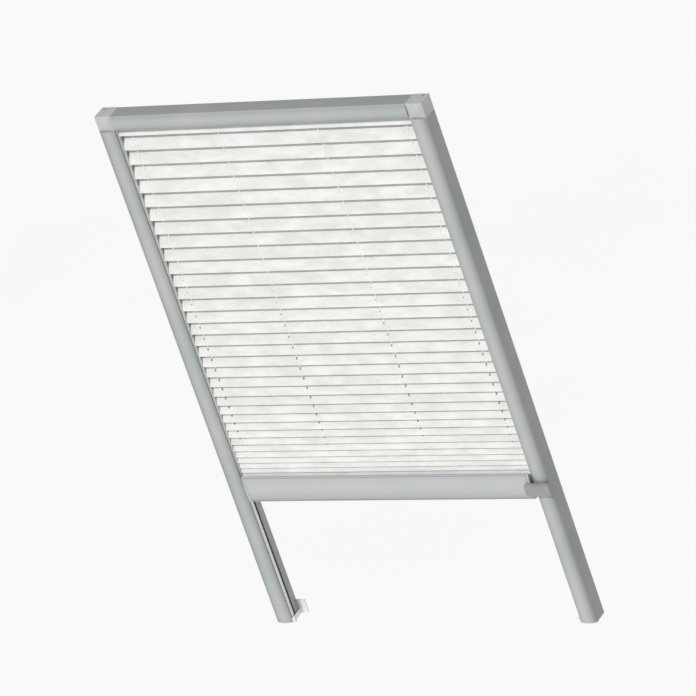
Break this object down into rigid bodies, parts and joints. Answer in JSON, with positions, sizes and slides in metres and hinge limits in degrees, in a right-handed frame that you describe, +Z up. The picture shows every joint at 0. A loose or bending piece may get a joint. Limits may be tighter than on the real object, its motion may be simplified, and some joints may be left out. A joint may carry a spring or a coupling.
{
  "type": "venetian blind",
  "caption": "Venetian blind for a roof window: side rails, headrail, tilting slats, sliding bottom bar and a tilt slider.",
  "frame": {"origin": "centre of the four fixing holes, in the plane of the brackets' back faces", "axes": "+X to the right and +Z up along the rails, as seen from the room; +Y towards the window pane"},
  "size_m": [0.6185, 0.046, 0.998],
  "materials": {
    "anodised_aluminium": "satin silver-grey anodised",
    "grey_cap_plastic": "fine satin",
    "slider_plastic": "satin grey",
    "white_plastic": "satin white",
    "zinc_plated_steel": "bright zinc",
    "bearing_plastic": "natural",
    "white_cord": "braided",
    "slat_lacquer": "pearly off-white lacquer"
  },
  "bodies": {
    "frame": {"side_rail_left": "anodised_aluminium", "side_rail_right": "anodised_aluminium", "headrail_casing": "anodised_aluminium", "headrail_corner_caps": "grey_cap_plastic", "rail_feet": "white_plastic", "mounting_brackets": "zinc_plated_steel", "fixing_screws": "zinc_plated_steel", "upper_slat_bearings": "bearing_plastic", "slat_01": "slat_lacquer", "lift_cords": "white_cord"},
    "bar": {"bottom_bar": "anodised_aluminium", "bar_end_caps": "grey_cap_plastic"},
    "slider": {"tilt_slider": "slider_plastic"},
    "rod": {"tilt_rod": "zinc_plated_steel", "ladder_drums": "bearing_plastic"},
    "slat_guide_16": {"slat_guide_16": "bearing_plastic"},
    "slat_guide_17": {"slat_guide_17": "bearing_plastic"},
    "slat_guide_18": {"slat_guide_18": "bearing_plastic"},
    "slat_guide_19": {"slat_guide_19": "bearing_plastic"},
    "slat_guide_20": {"slat_guide_20": "bearing_plastic"},
    "slat_guide_21": {"slat_guide_21": "bearing_plastic"},
    "slat_guide_22": {"slat_guide_22": "bearing_plastic"},
    "slat_guide_23": {"slat_guide_23": "bearing_plastic"},
    "slat_guide_24": {"slat_guide_24": "bearing_plastic"},
    "slat_guide_25": {"slat_guide_25": "bearing_plastic"},
    "slat_guide_26": {"slat_guide_26": "bearing_plastic"},
    "slat_guide_27": {"slat_guide_27": "bearing_plastic"},
    "slat_02": {"slat_02": "slat_lacquer"},
    "slat_03": {"slat_03": "slat_lacquer"},
    "slat_04": {"slat_04": "slat_lacquer"},
    "slat_05": {"slat_05": "slat_lacquer"},
    "slat_06": {"slat_06": "slat_lacquer"},
    "slat_07": {"slat_07": "slat_lacquer"},
    "slat_08": {"slat_08": "slat_lacquer"},
    "slat_09": {"slat_09": "slat_lacquer"},
    "slat_10": {"slat_10": "slat_lacquer"},
    "slat_11": {"slat_11": "slat_lacquer"},
    "slat_12": {"slat_12": "slat_lacquer"},
    "slat_13": {"slat_13": "slat_lacquer"},
    "slat_14": {"slat_14": "slat_lacquer"},
    "slat_15": {"slat_15": "slat_lacquer"},
    "slat_16": {"slat_16": "slat_lacquer"},
    "slat_17": {"slat_17": "slat_lacquer"},
    "slat_18": {"slat_18": "slat_lacquer"},
    "slat_19": {"slat_19": "slat_lacquer"},
    "slat_20": {"slat_20": "slat_lacquer"},
    "slat_21": {"slat_21": "slat_lacquer"},
    "slat_22": {"slat_22": "slat_lacquer"},
    "slat_23": {"slat_23": "slat_lacquer"},
    "slat_24": {"slat_24": "slat_lacquer"},
    "slat_25": {"slat_25": "slat_lacquer"},
    "slat_26": {"slat_26": "slat_lacquer"},
    "slat_27": {"slat_27": "slat_lacquer"},
    "slat_28": {"slat_28": "slat_lacquer"},
    "slat_29": {"slat_29": "slat_lacquer"},
    "slat_30": {"slat_30": "slat_lacquer"},
    "slat_31": {"slat_31": "slat_lacquer"},
    "slat_32": {"slat_32": "slat_lacquer"},
    "slat_33": {"slat_33": "slat_lacquer"},
    "slat_34": {"slat_34": "slat_lacquer"}
  },
  "joints": [
    {"name": "bar_lift", "type": "slide", "parent": "frame", "child": "bar", "axis": [0, 0, 1], "range_m": [-0.053, 0.131], "deforming": ["lift_cords"]},
    {"name": "slider_tilt", "type": "slide", "parent": "bar", "child": "slider", "axis": [0, 0, 1], "range_m": [-0.001, 0.0165]},
    {"name": "rod_turn", "type": "hinge", "parent": "frame", "child": "rod", "pos_m": [0, -0.0195, 0.5075], "axis": [1, 0, 0], "range_deg": [-128.5, 8.5]},
    {"name": "guide_16_lift", "type": "slide", "parent": "frame", "child": "slat_guide_16", "axis": [0, 0, 1], "range_m": [-0.00577, 0.01417]},
    {"name": "guide_17_lift", "type": "slide", "parent": "frame", "child": "slat_guide_17", "axis": [0, 0, 1], "range_m": [-0.01129, 0.02776]},
    {"name": "guide_18_lift", "type": "slide", "parent": "frame", "child": "slat_guide_18", "axis": [0, 0, 1], "range_m": [-0.01657, 0.04073]},
    {"name": "guide_19_lift", "type": "slide", "parent": "frame", "child": "slat_guide_19", "axis": [0, 0, 1], "range_m": [-0.02159, 0.05307]},
    {"name": "guide_20_lift", "type": "slide", "parent": "frame", "child": "slat_guide_20", "axis": [0, 0, 1], "range_m": [-0.02634, 0.06475]},
    {"name": "guide_21_lift", "type": "slide", "parent": "frame", "child": "slat_guide_21", "axis": [0, 0, 1], "range_m": [-0.03081, 0.07574]},
    {"name": "guide_22_lift", "type": "slide", "parent": "frame", "child": "slat_guide_22", "axis": [0, 0, 1], "range_m": [-0.035, 0.08603]},
    {"name": "guide_23_lift", "type": "slide", "parent": "frame", "child": "slat_guide_23", "axis": [0, 0, 1], "range_m": [-0.03888, 0.09557]},
    {"name": "guide_24_lift", "type": "slide", "parent": "frame", "child": "slat_guide_24", "axis": [0, 0, 1], "range_m": [-0.04246, 0.10436]},
    {"name": "guide_25_lift", "type": "slide", "parent": "frame", "child": "slat_guide_25", "axis": [0, 0, 1], "range_m": [-0.04572, 0.11238]},
    {"name": "guide_26_lift", "type": "slide", "parent": "frame", "child": "slat_guide_26", "axis": [0, 0, 1], "range_m": [-0.04865, 0.11958]},
    {"name": "guide_27_lift", "type": "slide", "parent": "frame", "child": "slat_guide_27", "axis": [0, 0, 1], "range_m": [-0.05125, 0.12597]},
    {"name": "slat_02_tilt", "type": "hinge", "parent": "frame", "child": "slat_02", "pos_m": [0, -0.0195, 0.4597], "axis": [1, 0, 0], "range_deg": [-128.5, 8.5]},
    {"name": "slat_03_tilt", "type": "hinge", "parent": "frame", "child": "slat_03", "pos_m": [0, -0.0195, 0.43236], "axis": [1, 0, 0], "range_deg": [-128.5, 8.5]},
    {"name": "slat_04_tilt", "type": "hinge", "parent": "frame", "child": "slat_04", "pos_m": [0, -0.0195, 0.40515], "axis": [1, 0, 0], "range_deg": [-128.5, 8.5]},
    {"name": "slat_05_tilt", "type": "hinge", "parent": "frame", "child": "slat_05", "pos_m": [0, -0.0195, 0.37812], "axis": [1, 0, 0], "range_deg": [-128.5, 8.5]},
    {"name": "slat_06_tilt", "type": "hinge", "parent": "frame", "child": "slat_06", "pos_m": [0, -0.0195, 0.35133], "axis": [1, 0, 0], "range_deg": [-128.5, 8.5]},
    {"name": "slat_07_tilt", "type": "hinge", "parent": "frame", "child": "slat_07", "pos_m": [0, -0.0195, 0.3248], "axis": [1, 0, 0], "range_deg": [-128.5, 8.5]},
    {"name": "slat_08_tilt", "type": "hinge", "parent": "frame", "child": "slat_08", "pos_m": [0, -0.0195, 0.29858], "axis": [1, 0, 0], "range_deg": [-128.5, 8.5]},
    {"name": "slat_09_tilt", "type": "hinge", "parent": "frame", "child": "slat_09", "pos_m": [0, -0.0195, 0.2727], "axis": [1, 0, 0], "range_deg": [-128.5, 8.5]},
    {"name": "slat_10_tilt", "type": "hinge", "parent": "frame", "child": "slat_10", "pos_m": [0, -0.0195, 0.24721], "axis": [1, 0, 0], "range_deg": [-128.5, 8.5]},
    {"name": "slat_11_tilt", "type": "hinge", "parent": "frame", "child": "slat_11", "pos_m": [0, -0.0195, 0.22212], "axis": [1, 0, 0], "range_deg": [-128.5, 8.5]},
    {"name": "slat_12_tilt", "type": "hinge", "parent": "frame", "child": "slat_12", "pos_m": [0, -0.0195, 0.19747], "axis": [1, 0, 0], "range_deg": [-128.5, 8.5]},
    {"name": "slat_13_tilt", "type": "hinge", "parent": "frame", "child": "slat_13", "pos_m": [0, -0.0195, 0.1733], "axis": [1, 0, 0], "range_deg": [-128.5, 8.5]},
    {"name": "slat_14_tilt", "type": "hinge", "parent": "frame", "child": "slat_14", "pos_m": [0, -0.0195, 0.14963], "axis": [1, 0, 0], "range_deg": [-128.5, 8.5]},
    {"name": "slat_15_tilt", "type": "hinge", "parent": "frame", "child": "slat_15", "pos_m": [0, -0.0195, 0.12649], "axis": [1, 0, 0], "range_deg": [-128.5, 8.5]},
    {"name": "slat_16_tilt", "type": "hinge", "parent": "slat_guide_16", "child": "slat_16", "pos_m": [0, -0.0195, 0.10391], "axis": [1, 0, 0], "range_deg": [-128.5, 8.5]},
    {"name": "slat_17_tilt", "type": "hinge", "parent": "slat_guide_17", "child": "slat_17", "pos_m": [0, -0.0195, 0.08191], "axis": [1, 0, 0], "range_deg": [-128.5, 8.5]},
    {"name": "slat_18_tilt", "type": "hinge", "parent": "slat_guide_18", "child": "slat_18", "pos_m": [0, -0.0195, 0.06052], "axis": [1, 0, 0], "range_deg": [-128.5, 8.5]},
    {"name": "slat_19_tilt", "type": "hinge", "parent": "slat_guide_19", "child": "slat_19", "pos_m": [0, -0.0195, 0.03977], "axis": [1, 0, 0], "range_deg": [-128.5, 8.5]},
    {"name": "slat_20_tilt", "type": "hinge", "parent": "slat_guide_20", "child": "slat_20", "pos_m": [0, -0.0195, 0.01968], "axis": [1, 0, 0], "range_deg": [-128.5, 8.5]},
    {"name": "slat_21_tilt", "type": "hinge", "parent": "slat_guide_21", "child": "slat_21", "pos_m": [0, -0.0195, 0.00028], "axis": [1, 0, 0], "range_deg": [-128.5, 8.5]},
    {"name": "slat_22_tilt", "type": "hinge", "parent": "slat_guide_22", "child": "slat_22", "pos_m": [0, -0.0195, -0.01841], "axis": [1, 0, 0], "range_deg": [-128.5, 8.5]},
    {"name": "slat_23_tilt", "type": "hinge", "parent": "slat_guide_23", "child": "slat_23", "pos_m": [0, -0.0195, -0.03637], "axis": [1, 0, 0], "range_deg": [-128.5, 8.5]},
    {"name": "slat_24_tilt", "type": "hinge", "parent": "slat_guide_24", "child": "slat_24", "pos_m": [0, -0.0195, -0.05357], "axis": [1, 0, 0], "range_deg": [-128.5, 8.5]},
    {"name": "slat_25_tilt", "type": "hinge", "parent": "slat_guide_25", "child": "slat_25", "pos_m": [0, -0.0195, -0.06999], "axis": [1, 0, 0], "range_deg": [-128.5, 8.5]},
    {"name": "slat_26_tilt", "type": "hinge", "parent": "slat_guide_26", "child": "slat_26", "pos_m": [0, -0.0195, -0.0856], "axis": [1, 0, 0], "range_deg": [-128.5, 8.5]},
    {"name": "slat_27_tilt", "type": "hinge", "parent": "slat_guide_27", "child": "slat_27", "pos_m": [0, -0.0195, -0.10039], "axis": [1, 0, 0], "range_deg": [-128.5, 8.5]},
    {"name": "slat_28_tilt", "type": "hinge", "parent": "bar", "child": "slat_28", "pos_m": [0, -0.0195, -0.11433], "axis": [1, 0, 0], "range_deg": [-128.5, 8.5]},
    {"name": "slat_29_tilt", "type": "hinge", "parent": "bar", "child": "slat_29", "pos_m": [0, -0.0195, -0.1274], "axis": [1, 0, 0], "range_deg": [-128.5, 8.5]},
    {"name": "slat_30_tilt", "type": "hinge", "parent": "bar", "child": "slat_30", "pos_m": [0, -0.0195, -0.13958], "axis": [1, 0, 0], "range_deg": [-128.5, 8.5]},
    {"name": "slat_31_tilt", "type": "hinge", "parent": "bar", "child": "slat_31", "pos_m": [0, -0.0195, -0.15084], "axis": [1, 0, 0], "range_deg": [-128.5, 8.5]},
    {"name": "slat_32_tilt", "type": "hinge", "parent": "bar", "child": "slat_32", "pos_m": [0, -0.0195, -0.16117], "axis": [1, 0, 0], "range_deg": [-128.5, 8.5]},
    {"name": "slat_33_tilt", "type": "hinge", "parent": "bar", "child": "slat_33", "pos_m": [0, -0.0195, -0.17055], "axis": [1, 0, 0], "range_deg": [-128.5, 8.5]},
    {"name": "slat_34_tilt", "type": "hinge", "parent": "bar", "child": "slat_34", "pos_m": [0, -0.0195, -0.17895], "axis": [1, 0, 0], "range_deg": [-128.5, 8.5]}
  ],
  "couplings": [
    {"joint": "rod_turn", "follows": "slider_tilt", "rad_per_m": -135.4},
    {"joint": "guide_16_lift", "follows": "bar_lift", "ratio": 0.10776},
    {"joint": "guide_17_lift", "follows": "bar_lift", "ratio": 0.21107},
    {"joint": "guide_18_lift", "follows": "bar_lift", "ratio": 0.30975},
    {"joint": "guide_19_lift", "follows": "bar_lift", "ratio": 0.40358},
    {"joint": "guide_20_lift", "follows": "bar_lift", "ratio": 0.49239},
    {"joint": "guide_21_lift", "follows": "bar_lift", "ratio": 0.57599},
    {"joint": "guide_22_lift", "follows": "bar_lift", "ratio": 0.65418},
    {"joint": "guide_23_lift", "follows": "bar_lift", "ratio": 0.7268},
    {"joint": "guide_24_lift", "follows": "bar_lift", "ratio": 0.79365},
    {"joint": "guide_25_lift", "follows": "bar_lift", "ratio": 0.85457},
    {"joint": "guide_26_lift", "follows": "bar_lift", "ratio": 0.90938},
    {"joint": "guide_27_lift", "follows": "bar_lift", "ratio": 0.95791},
    {"joint": "slat_02_tilt", "follows": "slider_tilt", "rad_per_m": -135.4},
    {"joint": "slat_03_tilt", "follows": "slider_tilt", "rad_per_m": -135.4},
    {"joint": "slat_04_tilt", "follows": "slider_tilt", "rad_per_m": -135.4},
    {"joint": "slat_05_tilt", "follows": "slider_tilt", "rad_per_m": -135.4},
    {"joint": "slat_06_tilt", "follows": "slider_tilt", "rad_per_m": -135.4},
    {"joint": "slat_07_tilt", "follows": "slider_tilt", "rad_per_m": -135.4},
    {"joint": "slat_08_tilt", "follows": "slider_tilt", "rad_per_m": -135.4},
    {"joint": "slat_09_tilt", "follows": "slider_tilt", "rad_per_m": -135.4},
    {"joint": "slat_10_tilt", "follows": "slider_tilt", "rad_per_m": -135.4},
    {"joint": "slat_11_tilt", "follows": "slider_tilt", "rad_per_m": -135.4},
    {"joint": "slat_12_tilt", "follows": "slider_tilt", "rad_per_m": -135.4},
    {"joint": "slat_13_tilt", "follows": "slider_tilt", "rad_per_m": -135.4},
    {"joint": "slat_14_tilt", "follows": "slider_tilt", "rad_per_m": -135.4},
    {"joint": "slat_15_tilt", "follows": "slider_tilt", "rad_per_m": -135.4},
    {"joint": "slat_16_tilt", "follows": "slider_tilt", "rad_per_m": -135.4},
    {"joint": "slat_17_tilt", "follows": "slider_tilt", "rad_per_m": -135.4},
    {"joint": "slat_18_tilt", "follows": "slider_tilt", "rad_per_m": -135.4},
    {"joint": "slat_19_tilt", "follows": "slider_tilt", "rad_per_m": -135.4},
    {"joint": "slat_20_tilt", "follows": "slider_tilt", "rad_per_m": -135.4},
    {"joint": "slat_21_tilt", "follows": "slider_tilt", "rad_per_m": -135.4},
    {"joint": "slat_22_tilt", "follows": "slider_tilt", "rad_per_m": -135.4},
    {"joint": "slat_23_tilt", "follows": "slider_tilt", "rad_per_m": -135.4},
    {"joint": "slat_24_tilt", "follows": "slider_tilt", "rad_per_m": -135.4},
    {"joint": "slat_25_tilt", "follows": "slider_tilt", "rad_per_m": -135.4},
    {"joint": "slat_26_tilt", "follows": "slider_tilt", "rad_per_m": -135.4},
    {"joint": "slat_27_tilt", "follows": "slider_tilt", "rad_per_m": -135.4},
    {"joint": "slat_28_tilt", "follows": "slider_tilt", "rad_per_m": -135.4},
    {"joint": "slat_29_tilt", "follows": "slider_tilt", "rad_per_m": -135.4},
    {"joint": "slat_30_tilt", "follows": "slider_tilt", "rad_per_m": -135.4},
    {"joint": "slat_31_tilt", "follows": "slider_tilt", "rad_per_m": -135.4},
    {"joint": "slat_32_tilt", "follows": "slider_tilt", "rad_per_m": -135.4},
    {"joint": "slat_33_tilt", "follows": "slider_tilt", "rad_per_m": -135.4},
    {"joint": "slat_34_tilt", "follows": "slider_tilt", "rad_per_m": -135.4}
  ]
}
